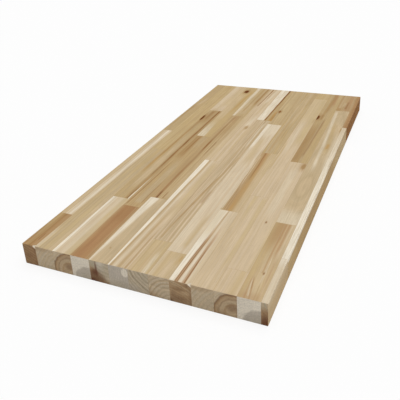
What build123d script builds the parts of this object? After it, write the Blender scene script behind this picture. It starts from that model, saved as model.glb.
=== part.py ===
"""Edge-grain butcher block countertop: solid hardwood staves glued side by side into one slab.

Rows of staves run the whole length. Inside a row the staves meet end to end in square
butt joints, and neighbouring rows are face glued, so every stave is a separate solid that
touches its neighbours without a gap. The slab was planed and ripped to size after gluing,
which leaves a narrow row at each long edge and cuts the last stave of each row to length.

Frame: X runs along the length, Y across the depth towards the back edge, Z up.
The origin is the middle of the underside. All sizes are in millimetres.
"""
from build123d import *
import os

# Finished slab
SLAB_LENGTH = 1270.0
SLAB_DEPTH = 609.6
SLAB_THICKNESS = 57.15

# Widths of the rows, counted from the back edge
BACK_ROW_WIDTH = 38.4
STAVE_WIDTH = 50.6
NARROWEST_RIP = 10.0

# Hand-eased edge all round the slab
ARRIS_RADIUS = 1.5

# Each row starts with a stave of the first length at the left end. Where a second length is given,
# it is that of the stave at the right end. The stave between them, or the last of a row with one
# length, takes up the rest of the slab.
ROW_END_STAVES = (
    (148.0, 533.0),
    (583.0,),
    (268.0, 305.0),
    (237.0, 547.0),
    (297.0, 334.0),
    (556.0,),
    (122.0, 350.0),
    (92.0, 378.0),
    (297.0, 612.0),
    (392.0, 74.0),
    (79.0, 648.0),
    (286.0, 180.0),
    (150.0, 339.0),
)

# Small splinters lost from the top corner of two end-grain blocks at the left end
CHIPPED_ROWS = (1, 9)
CHIP_ALONG = 6.0
CHIP_ACROSS = 8.5
CHIP_DROP = 7.5

LEFT_END = -SLAB_LENGTH / 2
BACK_EDGE = SLAB_DEPTH / 2


def row_lines():
    """Distances from the back edge of every glue line between rows, with both slab edges."""
    lines = [0.0, BACK_ROW_WIDTH]
    while SLAB_DEPTH - lines[-1] > STAVE_WIDTH + NARROWEST_RIP:
        lines.append(lines[-1] + STAVE_WIDTH)
    lines.append(SLAB_DEPTH)
    return lines


def stave_ends(row):
    """Distances from the left end at which the staves of a row begin and end."""
    first, *last = ROW_END_STAVES[(row - 1) % len(ROW_END_STAVES)]
    return [0.0, first, *(SLAB_LENGTH - length for length in last), SLAB_LENGTH]


def planed_slab():
    """The whole slab as one block with its outer edges eased."""
    block = Box(SLAB_LENGTH, SLAB_DEPTH, SLAB_THICKNESS, align=(Align.CENTER, Align.CENTER, Align.MIN))
    return fillet(block.edges(), ARRIS_RADIUS)


def stave_cell(start, end, back, front):
    """The square-edged space of one stave, from its distances to the left end and back edge."""
    cell = Box(end - start, front - back, SLAB_THICKNESS, align=(Align.MIN, Align.MAX, Align.MIN))
    return Pos(LEFT_END + start, BACK_EDGE - back, 0) * cell


def chip_corner(stave, front):
    """Break away the top corner where a stave's left end meets the row in front of it."""
    break_point = Vector(LEFT_END + CHIP_ALONG, BACK_EDGE - front, SLAB_THICKNESS)
    towards_corner = Vector(-1 / CHIP_ALONG, -1 / CHIP_ACROSS, 1 / CHIP_DROP)
    return split(stave, bisect_by=Plane(break_point, z_dir=towards_corner), keep=Keep.BOTTOM)


def export_staves():
    """Cut the slab into its staves and write one file for each."""
    os.makedirs("parts", exist_ok=True)
    slab = planed_slab()
    lines = row_lines()
    for row, (back, front) in enumerate(zip(lines, lines[1:]), start=1):
        ends = stave_ends(row)
        for place, (start, end) in enumerate(zip(ends, ends[1:]), start=1):
            stave = slab & stave_cell(start, end, back, front)
            if row in CHIPPED_ROWS and place == 1:
                stave = chip_corner(stave, front)
            export_step(stave, f"parts/stave_row_{row:02d}_{place}.step")


export_staves()
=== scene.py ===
"""Dresses an edge-grain butcher block countertop: oiled hardwood staves on a plain studio floor.

The slab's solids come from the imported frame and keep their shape. Every stave gets its own wood:
growth rings round a pith, fibres and pores along the length, and the bands, streaks, knots and
end-grain patches that tell it from its neighbours. Marks are placed in millimetres: along from the
slab's left end, across from the stave's back side, and down from the worktop.
"""
import math
from dataclasses import dataclass

import bpy
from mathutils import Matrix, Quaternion, Vector


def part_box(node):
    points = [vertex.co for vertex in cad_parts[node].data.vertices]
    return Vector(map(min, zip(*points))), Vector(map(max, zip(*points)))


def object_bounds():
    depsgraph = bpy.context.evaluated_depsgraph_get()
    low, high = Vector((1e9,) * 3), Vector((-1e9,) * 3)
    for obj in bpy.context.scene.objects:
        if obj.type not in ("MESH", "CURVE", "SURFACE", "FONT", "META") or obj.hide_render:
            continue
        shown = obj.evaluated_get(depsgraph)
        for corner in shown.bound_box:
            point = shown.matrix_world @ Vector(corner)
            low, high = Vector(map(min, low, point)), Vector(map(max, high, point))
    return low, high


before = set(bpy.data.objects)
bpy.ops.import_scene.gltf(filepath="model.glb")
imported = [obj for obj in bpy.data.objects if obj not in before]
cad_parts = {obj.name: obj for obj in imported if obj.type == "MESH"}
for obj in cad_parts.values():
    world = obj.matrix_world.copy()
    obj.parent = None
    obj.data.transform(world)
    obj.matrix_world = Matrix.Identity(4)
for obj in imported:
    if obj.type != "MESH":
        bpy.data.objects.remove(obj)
cad_low, cad_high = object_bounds()

bl_info = {
    "name": "Butcher Block Countertop",
    "version": (1, 0, 0),
    "blender": (4, 5, 0),
    "location": "View3D > Sidebar > Countertop",
    "description": "Dresses an edge-grain butcher block countertop and its studio",
    "category": "Object",
}

MM = 0.001


def linear(hex_colour):
    """Turn an sRGB hex colour into linear red, green and blue."""
    values = [int(hex_colour[place:place + 2], 16) / 255 for place in (1, 3, 5)]
    return tuple(v / 12.92 if v <= 0.04045 else ((v + 0.055) / 1.055) ** 2.4 for v in values)


def tone(hex_colour, words):
    """A colour property for one wood tone."""
    return bpy.props.FloatVectorProperty(
        name=words[0].upper() + words[1:], description=f"Colour of {words}", subtype="COLOR",
        size=3, min=0.0, max=1.0, default=linear(hex_colour))


def length(millimetres, words, about):
    """A length property for one feature of the wood."""
    return bpy.props.FloatProperty(name=words, description=about, default=millimetres * MM, unit="LENGTH")


class WoodTones(bpy.types.PropertyGroup):
    """Tones of planed and oiled acacia, from sapwood to the darkest knot."""

    # Cream, ivory, blush, straw, wheat, fawn, bark, end_cream, end_ash, end_straw and end_olive are the
    # wood's tone plus a faint painted sheen: each is lifted by about 2 levels of 255 to stand in for the
    # reflection that the low specular level leaves out.
    cream: tone("#eee3ce", "fresh white sapwood")
    ivory: tone("#decfb4", "pale sapwood")
    blush: tone("#d5c0a1", "pinkish pale wood")
    straw: tone("#cdb692", "straw-coloured wood")
    wheat: tone("#c9b288", "pale golden wood")
    fawn: tone("#c2ad8a", "grey-tan wood")
    honey: tone("#c2a87a", "golden wood")
    olive: tone("#bca57f", "olive-tan wood")
    tan: tone("#ba9e75", "tan heartwood")
    bark: tone("#ad8c60", "brown heartwood")
    russet: tone("#af865f", "reddish heartwood")
    caramel: tone("#ba8c4a", "orange mineral streaks")
    walnut: tone("#90653a", "dark streaks")
    umber: tone("#693a14", "knots and pith")
    end_cream: tone("#e3d8c5", "palest end grain")
    end_ash: tone("#c0b5a5", "grey end grain")
    end_straw: tone("#c7b79d", "straw-coloured end grain")
    end_olive: tone("#b6a990", "olive end grain")
    end_tan: tone("#c8b291", "tan end grain")
    end_brown: tone("#a88863", "brown end grain")
    end_dark: tone("#7e6048", "dark end grain")
    end_red: tone("#694231", "reddish stain on end grain")


class GrainSizes(bpy.types.PropertyGroup):
    """Sizes of the figure that every stave shares, in millimetres of wood."""

    streak_width: length(6.5, "Streak width", "Width of the paler and darker streaks")
    streak_length: length(230, "Streak length", "Length over which a streak keeps its tone")
    fibre_width: length(2.6, "Fibre width", "Width of one bundle of fibres")
    fibre_length: length(90, "Fibre length", "Length over which a fibre keeps its tone")
    pore_width: length(0.4, "Pore width", "Width of a cut pore, drawn twice the real 0.2 mm to show")
    pore_length: length(9, "Pore length", "Length of a pore cut along the grain")
    waver: length(2.4, "Waver", "How far the grain wanders sideways")
    glue_line: length(0.35, "Glue line", "Width of the darker line where two staves meet")
    relief: length(0.08, "Relief", "Depth of the pores left by sanding")


class StudioSettings(bpy.types.PropertyGroup):
    """Camera, lamps and floor, in metres in the slab's own frame."""

    camera_place: bpy.props.FloatVectorProperty(
        name="Camera place", description="Where the camera stands", size=3, subtype="XYZ",
        default=(-1.4114, -0.534, 0.7638), unit="LENGTH")
    camera_aim: bpy.props.FloatVectorProperty(
        name="Camera aim", description="Point of the worktop on the lens axis", size=3,
        subtype="XYZ", default=(0.055, 0.1391, 0.05715), unit="LENGTH")
    camera_roll: bpy.props.FloatProperty(
        name="Camera roll", description="Turn of the camera about its own line of sight",
        default=math.radians(3.06), subtype="ANGLE")
    camera_lens: bpy.props.FloatProperty(
        name="Lens", description="Focal length in millimetres on a 36 mm sensor", default=47.06, min=1.0)
    camera_shift: bpy.props.FloatProperty(
        name="Lens shift", description="Lens shift downwards that keeps upright edges nearly parallel, as a "
        "share of the picture width", default=-0.15)
    key_width: bpy.props.FloatProperty(
        name="Key lamp width", description="How wide the key lamp looks from the slab, which softens shadows",
        default=math.radians(55), subtype="ANGLE")
    key_strength: bpy.props.FloatProperty(
        name="Key lamp strength", description="Light of the key lamp in watts for each square metre",
        default=1.83, min=0.0)
    key_place: bpy.props.FloatVectorProperty(
        name="Key lamp direction", description="Where the key lamp stands, seen from the slab", size=3,
        subtype="XYZ", default=(0.12, -0.18, 1.0))
    sky: bpy.props.FloatProperty(
        name="Sky", description="Strength of the even light from all round", default=0.37, min=0.0)
    floor_size: bpy.props.FloatProperty(
        name="Floor size", description="Side of the square floor", default=60.0, unit="LENGTH")


# Stands for the whole length of a stave where a band says how far it runs
WHOLE = None


@dataclass
class Band:
    """A streak or zone that runs along the grain between two lines.

    along is where it starts and stops. across is where its back and front sides lie at the start,
    and then is where they lie at the stop, if they drift. soft is the blur of its sides, and fades
    are the lengths over which it comes and goes. by is the coordinate it is laid in: Meets, which is
    across, or Down for a zone seen on a long edge.
    """

    tone: str
    along: tuple
    across: tuple
    strength: float = 0.8
    soft: float = 1.5
    then: tuple = None
    fades: tuple = (0.1, 0.1)
    by: str = "Meets"


@dataclass
class Spot:
    """A knot or pin mark: an ellipse on the worktop with a halo round it, which the grain flows round."""

    tone: str
    along: float
    across: float
    length: float
    width: float
    strength: float = 0.9
    halo: float = 0.5
    swell: float = 0.0


@dataclass
class Patch:
    """A stain, arc or crack on a stave's end grain: an ellipse placed across and down."""

    tone: str
    across: float
    down: float
    width: float
    height: float
    strength: float = 0.8
    soft: float = 0.35


@dataclass
class Stave:
    """One piece of wood.

    tones are its main and second colour, and mix is how much of the second its figure shows. pith is
    where the centre of the tree lies at the stave's middle, across and down, and rise is how much
    deeper the pith gets with each millimetre along. ring is the width of a year's growth, and lines
    is how plain the late wood is, in line_tone. end holds the tones of its end grain where that isn't
    just darker and greyer than the worktop. end_lines is how plain the late wood is there, and arcs
    is the radius of its first dark ring and the distance to the next. patches lie on the end grain
    too, and chipped is whether a splinter is gone from the top corner.
    """

    tones: tuple
    marks: tuple = ()
    pith: tuple = (140.0, 40.0)
    rise: float = 0.0
    ring: float = 7.0
    mix: float = 0.85
    lines: float = 0.15
    line_tone: str = "bark"
    end: tuple = None
    end_lines: float = 0.35
    arcs: tuple = (3.0, 6.0)
    patches: tuple = ()
    chipped: bool = False


def heart_rings(across, down):
    """Wide rings round a pith low in the block: a dark rim, then pale and brown wood by turns."""
    blur = 2.5
    rings = (("end_dark", 49.5, 0.85), ("end_brown", 46, 0.95), ("end_tan", 43, 0.5), ("end_dark", 37.5, 0.4),
             ("end_tan", 34, 0.7), ("end_brown", 25, 0.7), ("end_tan", 20.5, 0.5))
    return tuple(Patch(ring_tone, across, down, 2 * radius, 2 * radius, strength, blur / radius)
                 for ring_tone, radius, strength in rings)


STAVES = {
    "stave_row_01_1": Stave(("bark", "tan"), (
        Band("honey", WHOLE, (0, 12), 0.4, 4),
        Band("russet", (0, 60), (2, 12), 0.45, 4, fades=(1, 30)),
        Band("walnut", (0, 110), (4, 7), 0.4, then=(2, 5), fades=(5, 40)),
        Band("walnut", WHOLE, (19, 24), 0.35, 2.5),
        Band("russet", WHOLE, (24, 40), 0.4, 4),
        Band("umber", (22, 60), (27, 29), 0.45, 0.8, then=(26, 28), fades=(8, 10)),
    ), pith=(-15, 110), end=("end_brown", "end_brown"), end_lines=0.6, arcs=(4, 8), chipped=True, patches=(
        Patch("end_dark", 20, 28, 90, 90, 0.2, 0.5), Patch("end_red", 12, 30, 30, 12, 0.3, 0.8),
        Patch("end_dark", 36, 14, 8, 18, 0.5, 0.8), Patch("end_dark", 36, 50, 8, 18, 0.5, 0.8))),
    "stave_row_01_2": Stave(("blush", "straw"), (
        Band("wheat", WHOLE, (0, 14), 0.5, 3),
        Band("russet", (148, 560), (1, 4), 0.25, 2, fades=(5, 120)),
        Band("tan", WHOLE, (14, 16), 0.6, 1),
        Band("ivory", WHOLE, (17, 36), 0.5, 2),
        Band("cream", WHOLE, (27, 32), 0.5, then=(25, 31), fades=(5, 5)),
        Band("tan", WHOLE, (21, 23), 0.35, 1, then=(20, 22)),
    ), pith=(-160, 30)),
    "stave_row_01_3": Stave(("olive", "honey"), (
        Band("tan", WHOLE, (0, 38), 0.25, 3, fades=(300, 1)),
        Band("bark", (760, 1060), (7, 11), 0.5, fades=(60, 80)),
        Band("walnut", (860, 1010), (8, 10), 0.45, fades=(30, 30)),
        Band("straw", (990, 1110), (10, 22), 0.6, 4, then=(24, 36), fades=(40, 40)),
    ), pith=(-180, 20), end=("end_tan", "end_olive"), end_lines=0.3, arcs=(4, 8)),
    "stave_row_02_1": Stave(("fawn", "wheat"), (
        Band("olive", (60, 430), (14, 18), 0.6, then=(6, 10), fades=(60, 90)),
        Band("straw", (0, 330), (38, 52), 0.7, 3, then=(44, 52), fades=(0.1, 120)),
        Band("ivory", (0, 110), (-2, 10), 0.5, 4, fades=(1, 60)),
        Band("honey", (380, 583), (20, 34), 0.5, 5, then=(26, 40), fades=(60, 1)),
        Band("tan", (410, 583), (47, 52), 0.5, fades=(50, 1)),
    ), pith=(104, 88), mix=1.0, lines=0.3, end=("end_straw", "end_tan"), end_lines=0.14, arcs=(5, 9),
        patches=(Patch("end_brown", 14, 3, 60, 14, 0.4, 0.7),)),
    "stave_row_02_2": Stave(("honey", "wheat"), (
        Band("wheat", (583, 840), (10, 22), 0.5, 5, then=(4, 16), fades=(1, 120)),
        Band("tan", (600, 1220), (22, 28), 0.7, 3, then=(30, 36), fades=(90, 90)),
        Band("bark", (858, 915), (47, 52), fades=(15, 15)),
        Band("straw", (930, 1270), (46, 52), 0.4, fades=(60, 5)),
        Band("bark", (1180, 1270), (20, 34), 0.3, 4, fades=(60, 1)),
    ), pith=(-130, 50), ring=6, end=("end_straw", "end_tan"), end_lines=0.2, arcs=(5, 9),
        patches=(Patch("end_brown", 30, 56, 70, 30, 0.5, 0.7),)),
    "stave_row_03_1": Stave(("blush", "ivory"), (
        Band("cream", WHOLE, (-3, 7), 0.95, 1.2),
        Band("straw", WHOLE, (14, 30), 0.3, 5),
        Band("wheat", WHOLE, (32, 52), 0.7, 5),
        Band("honey", (0, 240), (46, 52), 0.5, fades=(5, 30)),
    ), pith=(38, 42), end=("end_straw", "end_tan"), end_lines=0.1, arcs=(4, 6), patches=(
        *heart_rings(46, 48), Patch("end_dark", 43, 36, 20, 18, 0.6, 0.6),
        Patch("end_dark", 51, 40, 5, 60, 0.4, 0.8))),
    "stave_row_03_2": Stave(("olive", "honey"), (
        Band("straw", (300, 600), (14, 32), 0.45, 5, fades=(70, 160)),
        Band("straw", (330, 760), (14, 30), 0.6, 5, fades=(70, 160)),
        Band("caramel", (405, 760), (-2, 6), 0.5, 2, then=(1, 9), fades=(60, 120)),
        Band("bark", (500, 960), (-2, 6), 0.75, 2, then=(3, 12), fades=(90, 120)),
        Band("bark", WHOLE, (35, 46), 0.72, 2.5, then=(37, 48)),
        Band("walnut", (420, 965), (37, 42), 0.7, 2, then=(39, 45), fades=(80, 1)),
        Band("umber", (268, 350), (41, 43), 0.75, 1, fades=(1, 50)),
        Band("umber", (400, 470), (38, 40), 0.5, 1, fades=(30, 30)),
        Band("umber", (620, 700), (40, 43), 0.4, 1.2, fades=(30, 30)),
        Band("umber", (860, 960), (41, 44), 0.35, fades=(40, 5)),
        Band("cream", (268, 440), (45.5, 48), 0.95, 0.7, then=(48, 49), fades=(1, 90)),
        Band("bark", (300, 965), (47, 52), 0.25, fades=(120, 5)),
        Band("bark", (800, 965), (6, 34), 0.62, 5, then=(12, 34), fades=(70, 2)),
        Band("walnut", (860, 965), (12, 22), 0.4, 3, then=(14, 26), fades=(30, 20)),
        Spot("umber", 884, 2.5, 52, 10, 1.0, 0.9, swell=5),
    ), pith=(-110, 40), ring=5, lines=0.2, line_tone="walnut"),
    "stave_row_03_3": Stave(("blush", "straw"), (
        Band("tan", (965, 985), (12, 32), 0.35, 6, fades=(1, 15)),
        Band("ivory", (980, 1270), (4, 18), 0.3, 5, fades=(20, 5)),
        Band("wheat", (1000, 1270), (28, 52), 0.55, 6, fades=(50, 5)),
    ), pith=(150, 60), mix=0.9),
    "stave_row_04_1": Stave(("russet", "bark"), (
        Band("tan", WHOLE, (-2, 5), 0.4, 4),
        Band("walnut", WHOLE, (12, 20), 0.1, 4),
        Band("walnut", (130, 237), (10, 42), 0.18, 6, fades=(60, 2)),
        Band("tan", WHOLE, (40, 50), 0.55, 3),
        Band("walnut", WHOLE, (43, 45.5), 0.3, 1.2),
        Band("wheat", WHOLE, (48, 52), 0.45, 1),
    ), pith=(50, 78), mix=0.35, end=("end_cream", "end_cream"), end_lines=0.05, arcs=(4, 5), patches=(
        Patch("end_ash", 50, 66, 88, 88, 1.0, 0.08), Patch("end_olive", 52, 64, 60, 50, 0.5, 0.8))),
    "stave_row_04_2": Stave(("tan", "honey"), (
        Band("walnut", (240, 560), (4, 7), 0.6, 1.2, then=(9, 12), fades=(15, 100)),
        Band("bark", (520, 723), (4, 24), 0.85, 2, fades=(60, 2)),
        Band("walnut", (560, 723), (14, 17), 0.6, 1.2, then=(18, 21), fades=(60, 20)),
        Band("fawn", (250, 560), (20, 40), 0.6, 4, fades=(20, 100)),
        Band("walnut", (250, 410), (41, 43), 0.6, 1, fades=(20, 60)),
        Band("fawn", (600, 723), (26, 46), 0.35, 4, fades=(60, 10)),
    ), pith=(-150, 70), ring=5, lines=0.2, line_tone="walnut"),
    "stave_row_04_3": Stave(("wheat", "honey"), (
        Band("ivory", (723, 900), (-3, 25), 0.7, 2.5, then=(-3, 18), fades=(1, 150)),
        Band("straw", (840, 1190), (-3, 26), 0.7, 4, fades=(120, 60)),
        Band("honey", WHOLE, (27, 52), 0.9, 3, then=(24, 52)),
        Band("caramel", (930, 1240), (31, 37), 0.45, 3, then=(33, 40), fades=(120, 60)),
        Band("ivory", (1020, 1270), (47, 52), 0.5, fades=(100, 5)),
        Spot("umber", 1211, 15, 32, 17, 1.0, 0.8, swell=8),
    ), pith=(-120, 30), end=("end_brown", "end_dark"), end_lines=0.3, arcs=(4, 6),
        patches=(Patch("end_tan", 46, 10, 40, 50, 0.7, 0.5),)),
    "stave_row_05_1": Stave(("fawn", "straw"), (
        Band("ivory", WHOLE, (-4, 6), 0.9, 3, then=(-4, 27)),
        Band("cream", WHOLE, (-4, 3), 0.5, 2.5, then=(-4, 24)),
        Band("straw", WHOLE, (3, 16), 0.6, 5, then=(26, 36)),
        Band("tan", WHOLE, (46, 52), 0.4),
        Spot("bark", 56, 23, 6, 3, 0.7, 0.2),
    ), pith=(60, -60), end=("end_straw", "end_olive"), end_lines=0.12, arcs=(4, 8), patches=(
        Patch("end_olive", 14, 6, 44, 20, 0.8, 0.6), Patch("end_brown", 2, 38, 44, 40, 0.9, 0.5),
        Patch("end_brown", 22, 58, 50, 30, 0.9, 0.5), Patch("end_dark", 6, 42, 30, 30, 0.85, 0.6),
        Patch("end_red", 6, 57, 28, 16, 1.0, 0.5), Patch("end_dark", 25, 49, 30, 34, 0.75, 0.6),
        Patch("end_red", 17, 18, 5, 38, 0.85, 0.8), Patch("end_red", 14, 30, 17, 15, 0.75, 0.8),
        Patch("end_cream", 29, 5, 18, 10, 0.6, 0.8), Patch("end_ash", 28, 14, 18, 22, 0.5, 0.8),
        Patch("end_brown", 46, 58, 24, 16, 0.3, 0.6))),
    "stave_row_05_2": Stave(("tan", "wheat"), (
        Band("bark", (297, 900), (-2, 22), 0.3, 4, fades=(1, 160)),
        Band("russet", (297, 560), (10, 19), 0.4, 2.5, then=(12, 20), fades=(1, 160)),
        Band("walnut", WHOLE, (12, 19), 0.42, 2.5, then=(13, 20), fades=(1, 30)),
        Band("umber", (297, 350), (14, 18), 0.7, 2, fades=(1, 30)),
        Band("walnut", (600, 730), (13, 18), 0.7, fades=(40, 60)),
        Band("walnut", (300, 345), (33, 36), 0.6, 1.2, fades=(1, 20)),
        Band("walnut", (560, 700), (33, 36), 0.6, 1.2, fades=(60, 20)),
        Band("bark", (700, 936), (22, 34), 0.45, 4, then=(24, 38), fades=(90, 2)),
        Band("russet", (850, 936), (16, 30), 0.4, 5, fades=(60, 1)),
        Band("straw", (297, 900), (37, 52), 0.3, 4, fades=(20, 200)),
    ), pith=(-140, 60), ring=5, line_tone="walnut"),
    "stave_row_05_3": Stave(("honey", "fawn"), (
        Band("ivory", WHOLE, (-3, 11), 0.62, 2.5, then=(-3, 12), fades=(1, 1)),
        Band("cream", WHOLE, (-3, 7), 0.25, 2, then=(-3, 8), fades=(2, 5)),
        Band("straw", (950, 1110), (12, 40), 0.35, 5, fades=(20, 60)),
        Band("bark", (1030, 1270), (38, 48), 0.7, 2.5, then=(40, 50), fades=(60, 5)),
        Band("walnut", (1060, 1270), (41, 44), 0.6, 1.2, then=(43, 46), fades=(60, 20)),
        Band("bark", (960, 1270), (22, 27), 0.6, 2, then=(25, 30), fades=(50, 5)),
    ), pith=(-150, 40), ring=5, lines=0.35, end=("end_ash", "end_olive"), end_lines=0.15),
    "stave_row_06_1": Stave(("blush", "straw"), (
        Band("cream", (0, 420), (-4, 3), 0.97, 1.2, then=(-4, 14)),
        Band("cream", (418, 556), (-4, 14), 0.97, 1.2, then=(-4, 13)),
        Band("tan", WHOLE, (4, 10), 0.75, 2, then=(16, 20)),
        Band("ivory", WHOLE, (14, 19), 0.6, 2.5, then=(24, 28)),
        Band("tan", (0, 330), (24, 32), 0.7, 3, then=(30, 36), fades=(1, 150)),
        Band("bark", (0, 200), (42, 47), 0.6, 2, fades=(1, 100)),
        Band("wheat", (200, 556), (34, 52), 0.6, 4, fades=(80, 40)),
    ), pith=(-60, 10), end=("end_ash", "end_ash"), end_lines=0.08, arcs=(4, 6), patches=(
        Patch("end_cream", 42, 13, 17, 22, 1.0, 0.12), Patch("end_olive", 20, 50, 50, 22, 0.5, 0.7))),
    "stave_row_06_2": Stave(("blush", "straw"), (
        Band("wheat", (560, 1060), (-2, 14), 0.4, 4, fades=(30, 120)),
        Band("tan", (640, 1040), (16, 18), 0.5, 1.2, then=(20, 22), fades=(60, 90)),
        Band("walnut", (1050, 1270), (7, 11), 0.75, 1.6, then=(13, 18), fades=(15, 5)),
        Band("bark", (1120, 1270), (20, 23), 0.6, then=(24, 27), fades=(40, 5)),
        Band("tan", (1000, 1270), (-3, 7), 0.5, 4, fades=(90, 5)),
        Band("ivory", (1080, 1270), (26, 34), 0.6, 3, then=(30, 40), fades=(40, 5)),
        Band("ivory", (850, 990), (28, 40), 0.6, 4, then=(32, 44), fades=(5, 90)),
        Band("wheat", (600, 900), (46, 52), 0.6, 2, fades=(60, 90)),
        Spot("bark", 838, 39, 24, 7, 0.7, 0.4, swell=4),
    ), pith=(130, 70), mix=1.0),
    "stave_row_07_1": Stave(("wheat", "straw"), (
        Band("tan", WHOLE, (8, 11), 0.4),
        Band("tan", WHOLE, (24, 27), 0.3, 2),
        Band("ivory", (0, 90), (34, 44), 0.6, 2.5, fades=(1, 40)),
        Band("tan", WHOLE, (46, 50), 0.3),
    ), pith=(92, -34), end=("end_straw", "end_olive"), end_lines=0.32, arcs=(2, 8.5),
        patches=(Patch("end_ash", 8, 50, 34, 26, 0.6, 0.6),)),
    "stave_row_07_2": Stave(("fawn", "blush"), (
        Band("tan", (125, 300), (10, 15), 0.8, 2, then=(20, 26), fades=(15, 1)),
        Band("tan", (296, 450), (20, 26), 0.9, 2, then=(32, 38)),
        Band("tan", (446, 600), (32, 38), 0.8, 2.5, then=(42, 47)),
        Band("tan", (596, 900), (42, 47), 0.6, 2.5, then=(43, 48), fades=(1, 80)),
        Band("bark", (330, 480), (22, 25), 0.7, then=(33, 36), fades=(40, 60)),
        Band("walnut", (300, 390), (40, 46), 0.4, 3, then=(43, 48), fades=(20, 30)),
        Band("walnut", (180, 330), (15, 17), 0.35, 1, then=(25, 27), fades=(40, 30)),
        Band("straw", (400, 920), (-2, 12), 0.4, 4, fades=(90, 40)),
        Band("ivory", (660, 900), (36, 41), 0.6, 2, fades=(60, 30)),
        Band("tan", (480, 920), (20, 24), 0.6, 2, then=(26, 30), fades=(60, 30)),
    ), pith=(-120, 50), mix=1.0, ring=6, lines=0.45),
    "stave_row_07_3": Stave(("honey", "tan"), (
        Band("cream", WHOLE, (-4, 27), 0.75, 2.5, then=(-4, 32), fades=(2, 1)),
        Band("ivory", (960, 1270), (12, 24), 0.5, 4, then=(16, 28), fades=(60, 5)),
        Band("walnut", WHOLE, (28, 33), 0.9, 1.6, then=(32, 38), fades=(2, 1)),
        Band("umber", (1080, 1270), (31, 34), 0.6, then=(33, 37), fades=(120, 1)),
        Band("caramel", (920, 1040), (42, 50), 0.6, 3, then=(46, 52), fades=(5, 50)),
        Band("bark", (930, 975), (46, 50), 0.7, fades=(5, 20)),
        Band("wheat", (1100, 1270), (42, 52), 0.4, 3, fades=(60, 5)),
    ), pith=(-110, 30)),
    "stave_row_08_1": Stave(("straw", "wheat"), (
        Band("ivory", WHOLE, (-2, 9), 0.3, 4),
        Band("honey", WHOLE, (12, 18), 0.4, 3),
        Band("honey", (40, 92), (36, 52), 0.5, 3, fades=(20, 1)),
        Band("caramel", (58, 88), (42, 46), 0.4, fades=(10, 10)),
        Band("blush", (0, 80), (24, 34), 0.5, 4, fades=(1, 30)),
    ), pith=(62, 74), mix=0.6, end=("end_straw", "end_tan"), end_lines=0.28, arcs=(3, 9),
        patches=(Patch("end_brown", 4, 58, 40, 30, 0.6, 0.7),)),
    "stave_row_08_2": Stave(("blush", "ivory"), (
        Band("ivory", (92, 400), (-3, 14), 0.4, 4, fades=(2, 120)),
        Band("honey", (100, 300), (24, 40), 0.5, 6, then=(26, 38), fades=(30, 90)),
        Band("honey", (530, 800), (16, 38), 0.5, 7, then=(14, 30), fades=(90, 70)),
        Band("cream", (660, 892), (-3, 9), 0.7, 3, then=(-3, 14), fades=(60, 2)),
        Band("ivory", (770, 892), (10, 52), 0.55, 5, then=(6, 52), fades=(50, 2)),
        Band("tan", (560, 700), (47, 52), 0.55, fades=(60, 60)),
    ), pith=(140, 50), mix=0.6, lines=0.1),
    "stave_row_08_3": Stave(("wheat", "olive"), (
        Band("caramel", (915, 1000), (-2, 4), 0.75, 2, then=(-2, 5), fades=(10, 40)),
        Band("walnut", (930, 1040), (0, 2), 0.5, 1.2, then=(3, 6), fades=(20, 20)),
        Band("tan", WHOLE, (38, 44), 0.6, 3, then=(34, 40), fades=(5, 5)),
        Band("wheat", (930, 1270), (14, 34), 0.35, 6, fades=(40, 5)),
        Spot("walnut", 1021, 8, 22, 9, 1.0, 0.7, swell=4),
    ), pith=(-100, 60), ring=6, lines=0.3, end=("end_tan", "end_straw"), arcs=(3, 9)),
    "stave_row_09_1": Stave(("blush", "ivory"), (
        Band("cream", WHOLE, (-4, 12), 0.95, then=(-4, 21)),
        Band("wheat", (120, 297), (-4, 14), 0.4, 2, then=(-4, 20), fades=(90, 1)),
        Band("russet", (0, 230), (13.5, 20), 0.6, then=(17, 24), fades=(1, 90)),
        Band("walnut", (0, 180), (14, 16), 0.6, 0.8, then=(17, 19), fades=(1, 50)),
        Band("walnut", (0, 190), (18, 20.5), 0.7, 0.8, then=(21, 24), fades=(1, 60)),
        Band("bark", (120, 297), (20, 23), 0.5, then=(23, 26), fades=(40, 2)),
        Band("cream", (0, 180), (23, 29), 0.5, 2, then=(26, 30), fades=(1, 90)),
        Band("russet", (0, 250), (30, 38), 0.55, 2, then=(31, 38), fades=(1, 120)),
        Band("walnut", (0, 160), (34, 37), 0.8, 1, fades=(1, 70)),
        Band("straw", WHOLE, (42, 52), 0.5, 4, then=(38, 52)),
    ), pith=(-20, 120), end=("end_brown", "end_tan"), end_lines=0.32, arcs=(2, 7), chipped=True, patches=(
        Patch("end_brown", 30, 28, 60, 60, 0.6, 0.8), Patch("end_red", 16, 50, 50, 26, 0.3, 0.8),
        Patch("end_dark", 2, 54, 12, 10, 0.8, 0.6), Patch("end_dark", 40, 6, 9, 8, 0.6, 0.8),
        Patch("end_dark", 49, 34, 8, 60, 0.45, 0.8), Patch("end_dark", 22, 20, 20, 7, 0.4, 0.9),
        Patch("end_tan", 37, 27, 18, 8, 0.4, 0.9), Patch("end_dark", 9, 33, 10, 20, 0.35, 0.9),
        Patch("end_tan", 14, 10, 16, 6, 0.35, 0.9), Patch("end_dark", 31, 42, 22, 7, 0.35, 0.9))),
    "stave_row_09_2": Stave(("straw", "wheat"), (
        Band("caramel", WHOLE, (8, 36), 0.25, 7, then=(4, 30), fades=(1, 2)),
        Band("tan", WHOLE, (3, 22), 0.65, 3, then=(1, 15), fades=(1, 2)),
        Band("russet", WHOLE, (4, 20), 0.15, 3, then=(1, 13), fades=(1, 2)),
        Band("walnut", (297, 520), (8, 10), 0.45, 1.2, then=(5, 7), fades=(5, 60)),
        Band("walnut", (297, 420), (14, 16), 0.4, 1.2, then=(11, 13), fades=(5, 60)),
        Band("ivory", (400, 640), (7, 9), 0.5, 1, then=(4, 6), fades=(60, 20)),
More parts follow.
